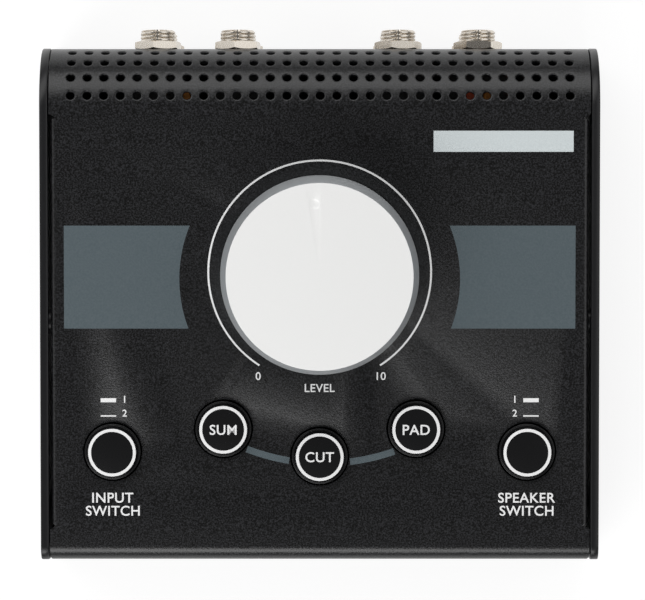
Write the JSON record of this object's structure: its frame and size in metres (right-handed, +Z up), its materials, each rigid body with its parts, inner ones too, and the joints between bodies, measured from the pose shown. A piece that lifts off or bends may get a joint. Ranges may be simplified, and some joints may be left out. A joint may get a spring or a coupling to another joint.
{
  "type": "studio monitor controller",
  "caption": "Sloped desktop box with a large aluminium volume knob, round push buttons and quarter-inch jacks at the rear, for switching studio monitors.",
  "frame": {"origin": "on the table, under the middle of the whole object's bounding box", "axes": "+X to the user's right, +Y to the rear with the jacks, +Z up; the panel slopes 3 degrees down towards the user on the -Y side"},
  "size_m": [0.15, 0.1436, 0.0661],
  "materials": {
    "black_coat": "black powder coat with a fine grain",
    "cheek_coat": "smooth black powder coat",
    "plate_coat": "plain black coat",
    "black_steel": "blackened steel",
    "foot_rubber": "black rubber, dull",
    "knob_aluminium": "turned and clear anodised, satin",
    "insert_plastic": "moulded",
    "shaft_metal": "turned",
    "pot_case": "moulded",
    "brass": "turned",
    "steel": "zinc plated",
    "button_plastic": "black, semi-gloss",
    "plunger_plastic": "white nylon",
    "switch_plastic": "moulded",
    "board_green": "solder mask",
    "ribbon_grey": "flat cable",
    "nickel": "nickel plated brass"
  },
  "bodies": {
    "case": {"top_cover": "black_coat", "left_cheek": "cheek_coat", "right_cheek": "cheek_coat", "bottom_plate": "plate_coat", "pot_housing": "pot_case", "pot_bushing": "brass", "pot_washer": "steel", "pot_nut": "steel", "control_board": "board_green", "jack_board": "board_green", "ribbon_cable": "ribbon_grey", "front_left_foot": "foot_rubber", "front_right_foot": "foot_rubber", "rear_left_foot": "foot_rubber", "rear_right_foot": "foot_rubber", "left_screw_top": "black_steel", "left_screw_front": "black_steel", "left_screw_rear": "black_steel", "right_screw_top": "black_steel", "right_screw_front": "black_steel", "right_screw_rear": "black_steel", "source_spring": "steel", "source_switch": "switch_plastic", "mono_spring": "steel", "mono_switch": "switch_plastic", "mute_spring": "steel", "mute_switch": "switch_plastic", "dim_spring": "steel", "dim_switch": "switch_plastic", "monitor_spring": "steel", "monitor_switch": "switch_plastic", "jack_1": "nickel", "jack_1_nut": "nickel", "jack_2": "nickel", "jack_2_nut": "nickel", "jack_3": "nickel", "jack_3_nut": "nickel", "jack_4": "nickel", "jack_4_nut": "nickel", "jack_5": "nickel", "jack_5_nut": "nickel", "jack_6": "nickel", "jack_6_nut": "nickel", "jack_7": "nickel", "jack_7_nut": "nickel", "jack_8": "nickel", "jack_8_nut": "nickel"},
    "volume": {"volume_knob": "knob_aluminium", "knob_insert": "insert_plastic", "pot_shaft": "shaft_metal"},
    "source": {"source_button": "button_plastic", "source_plunger": "plunger_plastic"},
    "mono": {"mono_button": "button_plastic", "mono_plunger": "plunger_plastic"},
    "mute": {"mute_button": "button_plastic", "mute_plunger": "plunger_plastic"},
    "dim": {"dim_button": "button_plastic", "dim_plunger": "plunger_plastic"},
    "monitor": {"monitor_button": "button_plastic", "monitor_plunger": "plunger_plastic"}
  },
  "joints": [
    {"name": "volume_turn", "type": "hinge", "parent": "case", "child": "volume", "pos_m": [0, 0.00534, 0.04284], "axis": [0, -0.0523, 0.9986], "range_deg": [-154, 146]},
    {"name": "source_press", "type": "slide", "parent": "case", "child": "source", "axis": [0, 0.0523, -0.9986], "range_m": [0, 0.0022], "stiffness_N_per_m": 400, "springref_m": -0.002, "deforming": ["source_spring"]},
    {"name": "mono_press", "type": "slide", "parent": "case", "child": "mono", "axis": [0, 0.0523, -0.9986], "range_m": [0, 0.0022], "stiffness_N_per_m": 400, "springref_m": -0.002, "deforming": ["mono_spring"]},
    {"name": "mute_press", "type": "slide", "parent": "case", "child": "mute", "axis": [0, 0.0523, -0.9986], "range_m": [0, 0.0022], "stiffness_N_per_m": 400, "springref_m": -0.002, "deforming": ["mute_spring"]},
    {"name": "dim_press", "type": "slide", "parent": "case", "child": "dim", "axis": [0, 0.0523, -0.9986], "range_m": [0, 0.0022], "stiffness_N_per_m": 400, "springref_m": -0.002, "deforming": ["dim_spring"]},
    {"name": "monitor_press", "type": "slide", "parent": "case", "child": "monitor", "axis": [0, 0.0523, -0.9986], "range_m": [0, 0.0022], "stiffness_N_per_m": 400, "springref_m": -0.002, "deforming": ["monitor_spring"]}
  ]
}
